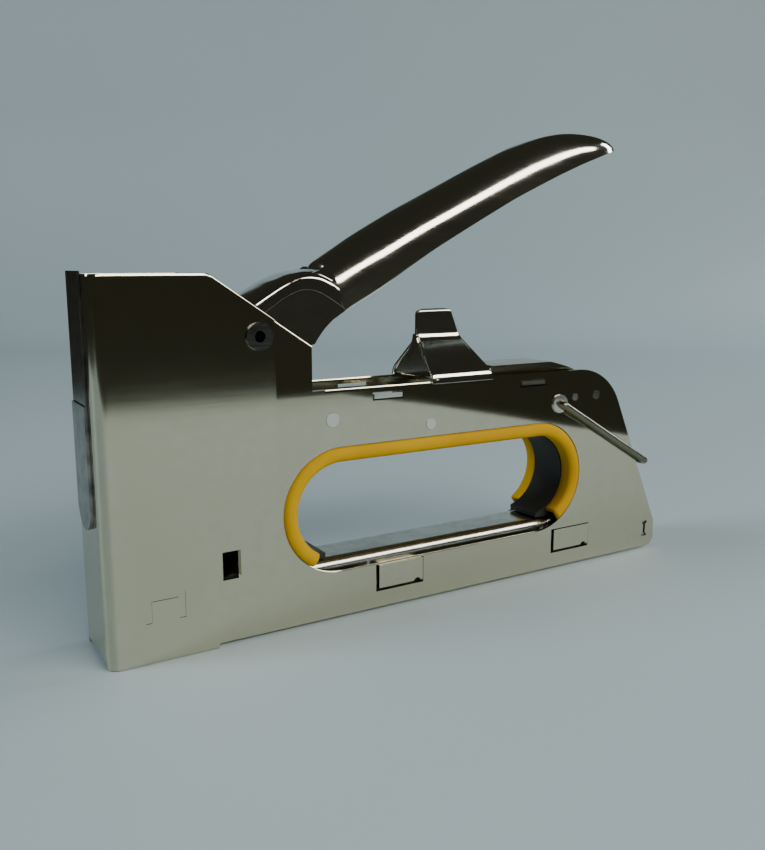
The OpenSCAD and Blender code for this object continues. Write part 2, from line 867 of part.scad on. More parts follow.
// Bent wire lock: two legs, a cross bar behind the body and two hinge ends
module wire_bail() {
    r = bail_d / 2;
    b = bail_bend;
    color("silver") translate([bail_x, 0, bail_z]) rotate([0, bail_drop, 0]) {
        for (s = [-1, 1]) mirror([0, s > 0 ? 0 : 1, 0]) {
            translate([0, bail_pin_in, 0]) rotate([-90, 0, 0])
                cylinder(h = bail_y - b / 2 - bail_pin_in, r = r);
            translate([b / 2, bail_y - b / 2, 0]) rotate([0, 0, 90])
                rotate_extrude(angle = 90) translate([b / 2, 0]) circle(r);
            translate([b / 2, bail_y, 0]) rotate([0, 90, 0])
                cylinder(h = bail_len - b - b / 2, r = r);
            translate([bail_len - b, bail_y - b, 0])
                rotate_extrude(angle = 90) translate([b, 0]) circle(r);
        }
        translate([bail_len, b - bail_y, 0]) rotate([-90, 0, 0])
            cylinder(h = 2 * (bail_y - b), r = r);
    }
}

left_shell();
right_shell();
nose_sleeve();
nose_cap();
front_plate();
front_cover();
blade_guide();
driver_bumper();
handle_pivot();
lever_arm();
grip_cover();
driver_blade();
driver_carrier();
power_spring();
deck_plate();
handle_stop();
back_cover();
magazine_housing();
rail_clips();
staple_core();
pusher();
pusher_spring();
pusher_rod();
magazine_catch();
grip_trim_left();
grip_trim_right();
grip_liner();
shell_rivets();
bail_eyelets();
wire_bail();
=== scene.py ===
import json
import math

import bpy
import numpy as np
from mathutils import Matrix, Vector


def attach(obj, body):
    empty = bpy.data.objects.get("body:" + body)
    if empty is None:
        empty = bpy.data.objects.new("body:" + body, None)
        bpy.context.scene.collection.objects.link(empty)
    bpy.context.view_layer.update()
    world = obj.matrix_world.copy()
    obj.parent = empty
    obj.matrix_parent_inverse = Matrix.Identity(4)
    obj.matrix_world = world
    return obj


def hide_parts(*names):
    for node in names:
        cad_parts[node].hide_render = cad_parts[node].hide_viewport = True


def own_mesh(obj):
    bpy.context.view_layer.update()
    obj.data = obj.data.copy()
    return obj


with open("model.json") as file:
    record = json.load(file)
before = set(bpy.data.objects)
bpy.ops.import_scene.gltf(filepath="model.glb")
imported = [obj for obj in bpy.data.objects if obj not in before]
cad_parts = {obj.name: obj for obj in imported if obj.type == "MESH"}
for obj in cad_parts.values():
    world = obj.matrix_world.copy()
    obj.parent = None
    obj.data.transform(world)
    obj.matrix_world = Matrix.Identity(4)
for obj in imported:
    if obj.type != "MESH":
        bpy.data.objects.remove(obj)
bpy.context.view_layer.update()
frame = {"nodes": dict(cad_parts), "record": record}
MM = 0.001


# ---------------------------------------------------------------- camera
def make_camera():
    """Camera at the viewing angle: from the nose side, a little above the deck."""
    yaw, pitch = math.radians(31.08), math.radians(10.36)
    ahead = Vector((
        math.sin(yaw) * math.cos(pitch),
        math.cos(yaw) * math.cos(pitch),
        -math.sin(pitch),
    ))
    data = bpy.data.cameras.new("camera")
    data.lens = 36.85
    data.sensor_width = 36.0
    data.clip_start, data.clip_end = 0.01, 20.0
    cam = bpy.data.objects.new("camera", data)
    bpy.context.scene.collection.objects.link(cam)
    cam.location = Vector((-43.8, -198.5, 90.1)) * MM
    cam.rotation_mode = "QUATERNION"
    cam.rotation_quaternion = ahead.to_track_quat("-Z", "Y")
    bpy.context.scene.camera = cam


make_camera()


# ---------------------------------------------------------------- shader helpers
def add(tree, kind, **values):
    """A shader node with its properties or input sockets set by name."""
    n = tree.nodes.new(kind)
    for key, value in values.items():
        if hasattr(n, key):
            setattr(n, key, value)
        else:
            n.inputs[key.replace("_", " ")].default_value = value
    return n


def span(tree, value, low, high, to_low, to_high, smooth=False):
    """Maps a value from one range to another, held at both ends."""
    n = tree.nodes.new("ShaderNodeMapRange")
    if smooth:
        n.interpolation_type = "SMOOTHSTEP"
    n.inputs["From Min"].default_value = low
    n.inputs["From Max"].default_value = high
    n.inputs["To Min"].default_value = to_low
    n.inputs["To Max"].default_value = to_high
    tree.links.new(value, n.inputs["Value"])
    return n.outputs["Result"]


def sums(tree, operation, a, b):
    """A Math node fed by sockets or plain numbers."""
    n = tree.nodes.new("ShaderNodeMath")
    n.operation = operation
    for socket, value in zip(n.inputs, (a, b)):
        if isinstance(value, (int, float)):
            socket.default_value = value
        elif value is not None:
            tree.links.new(value, socket)
    return n.outputs[0]


def group(name, inputs, outputs):
    """An empty shader node group with named inputs and outputs."""
    g = bpy.data.node_groups.new(name, "ShaderNodeTree")
    for label, kind, value in inputs:
        s = g.interface.new_socket(label, in_out="INPUT", socket_type=kind)
        if value is not None:
            s.default_value = value
    for label, kind in outputs:
        g.interface.new_socket(label, in_out="OUTPUT", socket_type=kind)
    return g, g.nodes.new("NodeGroupInput").outputs, g.nodes.new("NodeGroupOutput").inputs


def use(tree, g):
    """Places a node group in a material."""
    n = tree.nodes.new("ShaderNodeGroup")
    n.node_tree = g
    return n


def make_brushing():
    """Long fine lines along X over soft cloudy patches, as rolled sheet shows."""
    g, i, o = group(
        "brushed_sheet",
        [("Vector", "NodeSocketVector", None), ("Line scale", "NodeSocketFloat", 1400.0),
         ("Cloud scale", "NodeSocketFloat", 45.0)],
        [("Lines", "NodeSocketFloat"), ("Clouds", "NodeSocketFloat")],
    )
    L = g.links.new
    stretch = add(g, "ShaderNodeMapping", Scale=(0.035, 1.0, 1.0))
    fine = add(g, "ShaderNodeTexNoise", Detail=3.0, Roughness=0.6)
    cloud = add(g, "ShaderNodeTexNoise", Detail=2.0, Roughness=0.5)
    L(i["Vector"], stretch.inputs["Vector"])
    L(i["Vector"], cloud.inputs["Vector"])
    L(stretch.outputs["Vector"], fine.inputs["Vector"])
    L(i["Line scale"], fine.inputs["Scale"])
    L(i["Cloud scale"], cloud.inputs["Scale"])
    L(fine.outputs["Fac"], o["Lines"])
    L(cloud.outputs["Fac"], o["Clouds"])
    return g


def make_wear():
    """A mask that is bright on convex edges, broken up by noise."""
    g, i, o = group(
        "edge_wear",
        [("Vector", "NodeSocketVector", None), ("Break up scale", "NodeSocketFloat", 300.0),
         ("Low", "NodeSocketFloat", 0.52), ("High", "NodeSocketFloat", 0.60)],
        [("Mask", "NodeSocketFloat")],
    )
    L = g.links.new
    geo = g.nodes.new("ShaderNodeNewGeometry")
    edge = g.nodes.new("ShaderNodeMapRange")
    noise = add(g, "ShaderNodeTexNoise", Detail=3.0)
    L(i["Vector"], noise.inputs["Vector"])
    L(i["Break up scale"], noise.inputs["Scale"])
    L(geo.outputs["Pointiness"], edge.inputs["Value"])
    L(i["Low"], edge.inputs["From Min"])
    L(i["High"], edge.inputs["From Max"])
    soft = span(g, noise.outputs["Fac"], 0.35, 0.6, 0.2, 1.0)
    L(sums(g, "MULTIPLY", edge.outputs["Result"], soft), o["Mask"])
    return g


BRUSHING = make_brushing()
WEAR = make_wear()


def metal(name, colour, tint, rough, spread=0.03, line_bump=0.02, worn=(0.8, 0.78, 0.72),
          relief=None, soften=0.0):
    """Plated or bare metal: brushed lines, cloudy colour and roughness, worn edges.

    relief, when given, adds the sheet's own pressed shape as a height in metres;
    soften rounds the shading of corners over that distance."""
    m = bpy.data.materials.new(name)
    m.use_nodes = True
    t = m.node_tree
    L = t.links.new
    p = t.nodes["Principled BSDF"]
    p.inputs["Metallic"].default_value = 1.0
    where = add(t, "ShaderNodeTexCoord").outputs["Object"]
    g = use(t, BRUSHING)
    w = use(t, WEAR)
    L(where, g.inputs["Vector"])
    L(where, w.inputs["Vector"])
    col = add(t, "ShaderNodeMix", data_type="RGBA")
    col.inputs[6].default_value = (*colour, 1)
    col.inputs[7].default_value = (*tint, 1)
    L(span(t, g.outputs["Clouds"], 0.3, 0.7, 0.0, 1.0), col.inputs[0])
    edge = add(t, "ShaderNodeMix", data_type="RGBA")
    edge.inputs[7].default_value = (*worn, 1)
    L(col.outputs[2], edge.inputs[6])
    L(sums(t, "MULTIPLY", w.outputs["Mask"], 0.6), edge.inputs[0])
    L(edge.outputs[2], p.inputs["Base Color"])
    cloudy = span(t, g.outputs["Clouds"], 0.3, 0.7, -spread, spread)
    lined = span(t, g.outputs["Lines"], 0.3, 0.7, rough - spread, rough + spread)
    L(sums(t, "ADD", cloudy, lined), p.inputs["Roughness"])
    b = add(t, "ShaderNodeBump", Strength=line_bump, Distance=0.0002)
    L(g.outputs["Lines"], b.inputs["Height"])
    if relief:
        press = add(t, "ShaderNodeBump", Strength=1.0, Distance=1.0)
        L(relief(t, where), press.inputs["Height"])
        L(press.outputs["Normal"], b.inputs["Normal"])
    if soften:
        corner = t.nodes.new("ShaderNodeBevel")
        corner.samples = 8
        corner.inputs["Radius"].default_value = soften
        L(corner.outputs["Normal"], b.inputs["Normal"])
    L(b.outputs["Normal"], p.inputs["Normal"])
    return m


def moulded(name, colour, shade, rough, spec=0.5):
    """Moulded plastic: fine skin and slightly uneven colour; an edge wear group is placed but
    its mask is not used.
    """
    m = bpy.data.materials.new(name)
    m.use_nodes = True
    t = m.node_tree
    L = t.links.new
    p = t.nodes["Principled BSDF"]
    p.inputs["Specular IOR Level"].default_value = spec
    where = add(t, "ShaderNodeTexCoord").outputs["Object"]
    fine = add(t, "ShaderNodeTexNoise", Scale=1500.0, Detail=2.0)
    broad = add(t, "ShaderNodeTexNoise", Scale=60.0, Detail=3.0)
    w = use(t, WEAR)
    for n in (fine, broad, w):
        L(where, n.inputs["Vector"])
    col = add(t, "ShaderNodeMix", data_type="RGBA")
    col.inputs[6].default_value = (*colour, 1)
    col.inputs[7].default_value = (*shade, 1)
    L(span(t, broad.outputs["Fac"], 0.35, 0.7, 0.0, 1.0), col.inputs[0])
    L(col.outputs[2], p.inputs["Base Color"])
    L(span(t, fine.outputs["Fac"], 0.3, 0.7, rough - 0.05, rough + 0.07),
      p.inputs["Roughness"])
    b = add(t, "ShaderNodeBump", Strength=0.1, Distance=0.0002)
    L(fine.outputs["Fac"], b.inputs["Height"])
    L(b.outputs["Normal"], p.inputs["Normal"])
    return m


def parts_of(t, where):
    """X and Z of a position."""
    axis = add(t, "ShaderNodeSeparateXYZ")
    t.links.new(where, axis.inputs["Vector"])
    return axis.outputs["X"], axis.outputs["Z"]


def rolled_edge(t, distance, reach, steep):
    """Height of a rolled edge: falls away within reach of the edge, steep at the edge."""
    inside = sums(t, "MAXIMUM", sums(t, "SUBTRACT", reach, distance), 0.0)
    return sums(t, "MULTIPLY", sums(t, "MULTIPLY", inside, inside), -steep / (2 * reach))


# Shape of the sheet's relief, in metres. The shells lean back above a line that runs from
# one height at the front to another at the rear, and reach the full steepness over a
# further height.
LEAN_X0, LEAN_X1 = 0.058, 0.160
LEAN_FRONT, LEAN_REAR, LEAN_FULL, LEAN_STEEP = 0.0585, 0.0362, 0.0045, 0.08
DECK_HEIGHT, DECK_ROLL_X0, DECK_ROLL_X1 = 0.060, 0.0535, 0.094
# The nose's top is level to NOSE_TOP_X and then falls this far over this length
NOSE_HEIGHT, NOSE_TOP_X, NOSE_REAR_X = 0.0885, 0.024, 0.0501
NOSE_FALL, NOSE_RUN = 17.5, 26.0


def shell_relief(t, where):
    """Pressed shape of the side shells, as a height.

    The sheet leans back above a line that falls towards the rear: the slope grows
    evenly to its full value and then stays. The upper edge is rolled over along the
    front of the deck and along the slope of the nose."""
    x, z = parts_of(t, where)
    line = span(t, x, LEAN_X0, LEAN_X1, LEAN_FRONT, LEAN_REAR)
    above = sums(t, "MAXIMUM", sums(t, "SUBTRACT", z, line), 0.0)
    gone = sums(t, "MAXIMUM", sums(t, "SUBTRACT", above, LEAN_FULL), 0.0)
    lean = sums(t, "MULTIPLY", LEAN_STEEP / (2 * LEAN_FULL),
                sums(t, "SUBTRACT", sums(t, "MULTIPLY", gone, gone),
                     sums(t, "MULTIPLY", above, above)))
    along_deck = sums(t, "MULTIPLY", sums(t, "LESS_THAN", x, DECK_ROLL_X1),
                      sums(t, "GREATER_THAN", x, DECK_ROLL_X0))
    deck = rolled_edge(t, sums(t, "SUBTRACT", DECK_HEIGHT, z), 0.0008, 0.38)
    at_nose = sums(t, "MULTIPLY", nose_slope_roll(t, x, z),
                   sums(t, "LESS_THAN", x, NOSE_REAR_X))
    return sums(t, "ADD", lean, sums(t, "ADD", sums(t, "MULTIPLY", deck, along_deck),
                                     at_nose))


def nose_slope_roll(t, x, z):
    """Rolled edge along the sloping top of the nose."""
    fall = math.atan2(NOSE_FALL, NOSE_RUN)
    slope = sums(t, "SUBTRACT",
                 NOSE_TOP_X * math.sin(fall) + NOSE_HEIGHT * math.cos(fall),
                 sums(t, "ADD", sums(t, "MULTIPLY", x, math.sin(fall)),
                      sums(t, "MULTIPLY", z, math.cos(fall))))
    return rolled_edge(t, slope, 0.0005, 0.36)


def nose_relief(t, where):
    """Rolled upper edge of the nose sleeve, level at first and then sloping down."""
    x, z = parts_of(t, where)
    level = sums(t, "SUBTRACT", NOSE_HEIGHT, z)
    return sums(t, "ADD", rolled_edge(t, level, 0.0009, 0.42), nose_slope_roll(t, x, z))


NICKEL = metal("nickel_sheet", (0.54, 0.515, 0.385), (0.53, 0.505, 0.378), 0.13, 0.008, 0.012,
               worn=(0.58, 0.555, 0.43))
NOSE = metal("nickel_nose", (0.54, 0.515, 0.385), (0.53, 0.505, 0.378), 0.10, 0.008, 0.006,
             worn=(0.58, 0.555, 0.43), relief=nose_relief)
SHELL = metal("nickel_shell", (0.54, 0.515, 0.385), (0.53, 0.505, 0.378), 0.11, 0.008, 0.010,
              worn=(0.58, 0.555, 0.43), relief=shell_relief)
CHROME = metal("bright_chrome", (0.70, 0.68, 0.60), (0.66, 0.64, 0.57), 0.13, 0.025, 0.006)
BRIGHT = metal("bright_nickel", (0.66, 0.64, 0.58), (0.62, 0.60, 0.55), 0.09, 0.02, 0.008)
RAIL = metal("rail_sheet", (0.54, 0.53, 0.48), (0.51, 0.50, 0.455), 0.20, 0.02, 0.02,
             soften=0.0016)
PIVOT = metal("dark_pivot", (0.10, 0.10, 0.09), (0.07, 0.07, 0.065), 0.28, 0.03, 0.02,
              worn=(0.16, 0.16, 0.15))
WIRE = metal("oiled_wire", (0.24, 0.23, 0.17), (0.17, 0.165, 0.12), 0.24, 0.04, 0.02,
             worn=(0.3, 0.29, 0.24))
# The front cover's near-black colour is a painted dark reflection and shade, not a finish of
# its own; its paler worn edges are wear.
TONGUE_PAINTED_DARK = metal("tongue_painted_dark_reflection", (0.10, 0.10, 0.09), (0.07, 0.07, 0.065), 0.22, 0.03, 0.02,
               worn=(0.4, 0.39, 0.37))
DARK = metal("dark_steel", (0.16, 0.16, 0.15), (0.12, 0.12, 0.11), 0.32, 0.05, 0.05,
             worn=(0.4, 0.39, 0.37))
SPRING = metal("spring_wire", (0.36, 0.36, 0.34), (0.28, 0.28, 0.26), 0.26, 0.04, 0.04)
YELLOW = moulded("yellow_trim", (0.62, 0.36, 0.004), (0.54, 0.29, 0.004), 0.62, spec=0.12)
BLACK = moulded("black_grip", (0.010, 0.011, 0.009), (0.018, 0.019, 0.017), 0.5)
RUBBER = moulded("bumper_rubber", (0.02, 0.02, 0.02), (0.03, 0.03, 0.03), 0.7)

FINISH = {
    "nickel_sheet": NICKEL, "chrome": CHROME, "dark_steel": DARK, "spring_steel": SPRING,
    "yellow_trim": YELLOW, "black_grip": BLACK, "bumper_rubber": RUBBER,
}
OWN_FINISH = {"left_shell": SHELL, "right_shell": SHELL, "nose_sleeve": NOSE,
              "front_cover": TONGUE_PAINTED_DARK, "wire_bail": WIRE,
              "handle_pivot": PIVOT, "magazine_housing": RAIL, "lever_arm": BRIGHT}


def paint_cad():
    """Gives every CAD node the finish of its material slot."""
    for part in frame["record"]["subparts"]:
        obj = frame["nodes"][part["node"]]
        obj.data.materials.clear()
        finish = OWN_FINISH.get(part["node"], FINISH[part["material_slot"]])
        obj.data.materials.append(finish)


paint_cad()

# Width of the rounded edges, in millimetres, on the bent and cut sheet parts
EDGES = {
    "left_shell": 0.3, "right_shell": 0.3, "nose_sleeve": 0.4, "nose_cap": 0.4,
    "front_plate": 0.1, "front_cover": 0.15, "lever_arm": 0.45,
    "rail_clips": 0.15, "back_cover": 0.3, "deck_plate": 0.3, "handle_pivot": 0.25,
    "magazine_catch": 0.3, "grip_liner": 0.3,
    "shell_rivets": 0.1, "bail_eyelets": 0.12,
}


def round_edges():
    """Rounds the edges of the sheet parts with a bevel."""
    for node, width in EDGES.items():
        b = frame["nodes"][node].modifiers.new("edge", "BEVEL")
        b.width = width * MM
        b.segments = 3
        b.limit_method = "ANGLE"
        b.angle_limit = math.radians(28)
        b.use_clamp_overlap = True
        b.harden_normals = False


round_edges()


# ---------------------------------------------------------------- new surfaces
def surface(name, grid, material, tube=False):
    """A smooth quad surface through a grid of points, rows by columns by 3.

    A tube joins its last column to its first and has a face over each end row."""
    rows, cols = grid.shape[:2]
    index = np.arange(rows * cols).reshape(rows, cols)
    a, b = index[:-1], index[1:]
    if tube:
        quads = np.stack([a, b, np.roll(b, -1, 1), np.roll(a, -1, 1)], -1)
    else:
        quads = np.stack([a[:, :-1], b[:, :-1], b[:, 1:], a[:, 1:]], -1)
    faces = quads.reshape(-1, 4).tolist()
    if tube:
        faces.append(index[0].tolist())
        faces.append(index[-1][::-1].tolist())
    me = bpy.data.meshes.new(name)
    me.from_pydata(grid.reshape(-1, 3).tolist(), [], faces)
    me.polygons.foreach_set("use_smooth", np.ones(len(faces), dtype=bool))
    me.materials.append(material)
    me.update()
    ob = bpy.data.objects.new(name, me)
    bpy.context.scene.collection.objects.link(ob)
    return ob


def ease(x, low, high):
    """Smooth step from 0 at low to 1 at high."""
    k = np.clip((x - low) / (high - low), 0.0, 1.0)
    return k * k * (3.0 - 2.0 * k)


def smooth_line(x, knots_x, knots_y):
    """A line through knots, rounded by averaging over a short window."""
    fine = np.linspace(knots_x[0], knots_x[-1], 1200)
    y = np.interp(fine, knots_x, knots_y)
    for _ in range(3):
        pad = np.concatenate([[y[0]] * 30, y, [y[-1]] * 30])
        drift = np.concatenate([np.arange(-30, 0) * (y[1] - y[0]), np.zeros(len(y)),
                                np.arange(1, 31) * (y[-1] - y[-2])])
        y = np.convolve(pad + drift, np.ones(61) / 61, "valid")
    return np.interp(x, fine, y)


HAND_X, HAND_Z, HAND_SLOPE = 56.0, 91.0, math.radians(28.2)


def hand_to_frame(x, y, z):
    """Points of the handle's own frame (X along it, Z off its top) in the shared frame."""
    c, s = math.cos(HAND_SLOPE), math.sin(HAND_SLOPE)
    return np.stack([(HAND_X + x * c - z * s), y, (HAND_Z + x * s + z * c)], -1) * MM


def grip_cover():
    """Upper half of the handle: a channel whose arched top droops to a rounded tip.

    Each cross section is a flank, an elliptic shoulder and a narrow flat crown. The
    half width grows from the lever's width at the front and closes to the tip as a
    superellipse; crown and lower edge follow two smooth lines. The crown rises from the
    neck over the first millimetres as a quarter ellipse."""
    tip, start, rise_len, rise = 103.4, -2.0, 2.5, 3.6
    close_from = 84.0
    a = np.linspace(0.0, 1.0, 150)
    quarter = np.linspace(0, math.pi / 2, 16)
    full = start + rise_len
    x = np.concatenate([rise_len * (1 - np.cos(quarter))[:-1] + start,
                        full + (tip - full) * (1 - (1 - a) ** 1.6)])
    x[-1] = tip - 0.02
    crown = smooth_line(x, [-2, 13, 27, 41, 56, 70, 80, 87, 93, 98, 101.5, 103.5],
                        [0, 0.7, 0.7, 0.1, -0.5, -1.4, -3.0, -5.1, -8.0, -11.2, -14.2, -17])
    low = smooth_line(x, [-2, 4, 9, 17, 28, 42, 58, 74, 85, 94, 100, 103.5],
                      [-12.4, -12.5, -12.3, -11.6, -11.1, -11.2, -11.5, -12.7, -13.9,
                       -15.4, -16.9, -17.8])
    grow = 8.43 + 1.22 * ease(x, start, 14.0)
    round_off = np.clip((x - close_from) / (tip - close_from), 0.0, 1.0)
    half = grow * (1 - round_off ** 2.4) ** 0.55 + 0.02
    crown = np.maximum(crown, low + 0.9)
    front_in = np.clip(1 - (x - start) / rise_len, 0.0, 1.0)
    crown = crown - rise * (1 - np.sqrt(1 - front_in ** 2))
    height = crown - low
    ry = np.minimum(8.4, half * 0.9)
    rz = np.minimum(8.4, height * 0.78)
    arc = np.linspace(0, math.pi / 2, 26)
    flank = np.linspace(0, 1, 9)[:-1]
    top = np.linspace(0, 1, 6)[1:-1]
    y_side = np.concatenate([
        np.repeat(-half[:, None], len(flank), 1),
        (-half + ry)[:, None] - ry[:, None] * np.cos(arc)[None, :],
    ], 1)
    z_side = np.concatenate([
        low[:, None] + flank[None, :] * (height - rz)[:, None],
        (crown - rz)[:, None] + rz[:, None] * np.sin(arc)[None, :],
    ], 1)
    y_mid = (ry - half)[:, None] * (1 - 2 * top)[None, :]
    z_mid = np.repeat(crown[:, None], len(top), 1)
    y = np.concatenate([y_side, y_mid, -y_side[:, ::-1]], 1)
    z = np.concatenate([z_side, z_mid, z_side[:, ::-1]], 1)
    grid = hand_to_frame(np.repeat(x[:, None], y.shape[1], 1), y, z)
    ob = surface("grip_cover_surface", grid, CHROME)
    wall_it(ob, 1.1, rounded=0.25)
    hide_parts("grip_cover")
    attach(ob, "handle")
    return ob


def wall_it(ob, thickness, rounded=0.0):
    """Gives a surface its sheet thickness, inwards, and rounds its cut edges."""
    sheet = ob.modifiers.new("sheet", "SOLIDIFY")
    sheet.thickness = thickness * MM
    sheet.offset = -1.0
    if rounded:
        edge = ob.modifiers.new("edge", "BEVEL")
        edge.width = rounded * MM
        edge.segments = 2
        edge.limit_method = "ANGLE"
        edge.angle_limit = math.radians(50)


def neck_sheet():
    """Domed top of the lever between the nose and the grip cover.

    Each cross section is a superellipse over the lever's width: its springing follows
    the edge line of the cheeks and its top follows the crown line. Both sides run a
    little way down the cheeks."""
    x = np.linspace(34.6, 60.0, 70)
    edge = smooth_line(x, [34.6, 37.6, 40.2, 43.4, 45.6, 47.8, 49.9, 53.2, 56.6, 60.0],
                       [79.2, 81.3, 83.1, 85.2, 86.3, 87.1, 87.3, 86.6, 84.6, 82.4]) - 0.7
    top = smooth_line(x, [34.6, 36.5, 38.6, 43.0, 47.4, 50.7, 53.5, 56.6, 60.0],
                      [81.9, 83.1, 84.3, 86.6, 88.4, 89.1, 89.1, 88.0, 86.0])
    half = 8.41
    a = np.linspace(0, math.pi, 61)
    y = -half * np.sign(np.cos(a)) * np.abs(np.cos(a)) ** 0.62
    dome = np.sin(a) ** 0.62
    z = edge[:, None] + (top - edge)[:, None] * dome[None, :]
    skirt = np.array([-2.0, -1.96, -1.0, -0.4])
    straight = np.full(len(skirt), half)
    left = edge[:, None] + skirt[None, :]
    z = np.concatenate([left, z, left[:, ::-1]], 1)
    y = np.concatenate([-straight, y, straight])
    grid = np.stack([np.repeat(x[:, None], len(y), 1), np.repeat(y[None, :], len(x), 0), z],
                    -1) * MM
    ob = surface("neck_sheet", grid, BRIGHT)
    wall_it(ob, 0.5)
    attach(ob, "handle")
    return ob


STOP_X, STOP_DECK = 85.3, 60.0


def stop_sheet():
    """Handle stop bent from one sheet: skirt, sloping face, upright fin folded double.

    The section goes up one side, over the fin and down the other, with its corners
    rounded; each of its rows runs between the front and rear outline at that height."""
    side_y, fin_y, r = 10.6, 0.9, 1.9
    skirt, low_bend, high_bend, fin = -0.6, 1.4, 11.3, 18.7
    corners = np.array([(-side_y, skirt), (-side_y, low_bend), (-fin_y, high_bend),
                        (-fin_y, fin - fin_y)])
    path = [corners[0]]
    for before, here, after in zip(corners[:-2], corners[1:-1], corners[2:]):
        back = (before - here) / np.linalg.norm(before - here)
        on = (after - here) / np.linalg.norm(after - here)
        k = np.linspace(0, 1, 14)[:, None]
        start, end = here + back * r, here + on * r
        path += list((1 - k) ** 2 * start + 2 * k * (1 - k) * here + k ** 2 * end)
        path += list(end + (after - here) * np.linspace(0.04, 0.7, 8)[:, None])
    fold = np.linspace(math.pi, math.pi / 2, 10)
    path += list(np.stack([fin_y * np.cos(fold), fin - fin_y + fin_y * np.sin(fold)], -1))
    path = np.array(path)
    keep = np.concatenate([[True], np.linalg.norm(np.diff(path, axis=0), axis=1) > 1e-4])
    path = path[keep]
    rising = np.concatenate([[True], np.diff(path[:, 1]) > -1e-6])
    path = path[rising]
    half = path[::-1][1:] * np.array([-1, 1])
    path = np.concatenate([path, half])
    z = path[:, 1]
    front = np.interp(z, [-5, 3, 9.8, 17.2, 17.8, 18.3, 18.7],
                      [0, 0, 1.4, 1.4, 1.6, 2.1, 3.2])
    rear = np.interp(z, [-5, 1.6, 10.8, 17.2, 17.8, 18.3, 18.7],
                     [19.7, 19.7, 15.0, 12.4, 12.2, 11.7, 10.6])
    k = np.linspace(0, 1, 16)[None, :]
    x = STOP_X + front[:, None] * (1 - k) + rear[:, None] * k
    shape = (len(path), 16)
    grid = np.stack([x[:, ::-1], np.broadcast_to(path[:, :1], shape),
                     STOP_DECK + np.broadcast_to(path[:, 1:], shape)], -1) * MM
    ob = surface("handle_stop_sheet", grid, BRIGHT)
    wall_it(ob, 0.8, rounded=0.25)
    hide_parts("handle_stop")
    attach(ob, "body")
    return ob


def stop_end_wall():
    """Upright front wall of the handle stop, its flanks curved inwards up to the fin."""
    foot, head, wide, set_back = 0.4, 11.9, 10.2, 1.45
    k, w = np.linspace(0, 1, 30), np.linspace(-1, 1, 21)
    half = wide * (1 - k) ** 1.7 + 0.85
    z = STOP_DECK + foot + (head - foot) * k
    x = np.full((len(k), len(w)), STOP_X + set_back)
    grid = np.stack([x, -half[:, None] * w, np.repeat(z[:, None], len(w), 1)], -1) * MM
    ob = surface("handle_stop_wall", grid, BRIGHT)
    wall_it(ob, 0.8)
    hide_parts("handle_stop")
    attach(ob, "body")
    return ob


HOLE_X0, HOLE_X1, HOLE_Z = 58.0, 123.0, 29.0


def trim(name, side):
    """Rounded bead with a deep inner collar, swept round the finger hole.

    The section lies in the plane of radius and Y; the path is half a turn at each end
    joined by a straight run over the top and stops short of the magazine housing."""
    ends = math.radians(58)
    left = np.linspace(math.pi + ends, math.pi / 2, 60)
    right = np.linspace(math.pi / 2, -ends, 60)
    run = np.linspace(0, 1, 24)[1:-1]
    cx = np.concatenate([np.full(60, HOLE_X0), HOLE_X0 + (HOLE_X1 - HOLE_X0) * run,
                         np.full(60, HOLE_X1)])
    turn = np.concatenate([left, np.full(len(run), math.pi / 2), right])
    bead = np.linspace(-0.12 * math.pi, 1.0 * math.pi, 22)
    mid, wide, tall = 14.35, 1.9, 1.5
    face = 9.2
    r = np.concatenate([[14.0, 14.0, 15.9, 16.2], mid + wide * np.cos(bead),
                        [12.45, 12.5, 12.75]])
    y = np.concatenate([[5.95, 8.85, 8.9, 9.05], face + tall * np.sin(bead),
                        [8.0, 6.25, 5.95]])
    y[4:8] = np.maximum(y[4:8], 8.95)
    x_all = cx[:, None] + np.cos(turn)[:, None] * r[None, :]
    z_all = HOLE_Z + np.sin(turn)[:, None] * r[None, :]
    y_all = np.repeat(y[None, :] * side, len(cx), 0)
    grid = np.stack([x_all, y_all, z_all], -1) * MM
    if side > 0:
        grid = grid[:, ::-1]
    ob = surface(name + "_surface", grid, YELLOW, tube=True)
    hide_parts(name)
    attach(ob, "body")
    return ob


def coil(name, node, body, centre, axis, radius, wire, start, end, turns, sides=12,
         steps=40):
    """Round wire wound on a cylinder, its ends wound flat like a ground spring."""
    n = int(turns * steps) + 1
    a = np.linspace(0, 2 * math.pi * turns, n)
    rise = smooth_line(np.linspace(0, 1, n), [0, 0.7 / turns, 1 - 0.7 / turns, 1],
                       [0.0, 0.25 / turns, 1 - 0.25 / turns, 1.0])
    rise = (rise - rise[0]) / (rise[-1] - rise[0])
    b = np.linspace(0, 2 * math.pi, sides, endpoint=False)
    along = start + wire / 2 + (end - start - wire) * rise[:, None] \
        + wire / 2 * np.sin(b)[None, :]
    q = radius + wire / 2 * np.cos(b)[None, :]
    u = q * np.cos(a)[:, None]
    v = q * np.sin(a)[:, None]
    if axis == "Z":
        grid = np.stack([centre[0] + u, centre[1] + v, along], -1)
    else:
        grid = np.stack([along, centre[0] + u, centre[1] + v], -1)
    ob = surface(name, grid * MM, SPRING, tube=True)
    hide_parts(node)
    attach(ob, body)
    return ob


def make_springs():
    """Power spring between carrier and cap, and feed spring between pusher and catch.

    Each is given a mesh of its own."""
    power = coil("power_spring_wire", "power_spring", "body", (7.35, 0.0), "Z", 4.5, 2.2,
                 46.9, 86.2, 8)
    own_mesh(power)
    feed = coil("pusher_spring_wire", "pusher_spring", "follower", (0.0, 5.4), "X", 1.9,
                0.6, 7.9, 159.4, 40, sides=8, steps=20)
    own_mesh(feed)


grip_cover()
neck_sheet()
stop_sheet()
stop_end_wall()
trim("grip_trim_left", -1)
trim("grip_trim_right", 1)
make_springs()


# ---------------------------------------------------------------- stage and light
VIEW_YAW = math.radians(31.08)


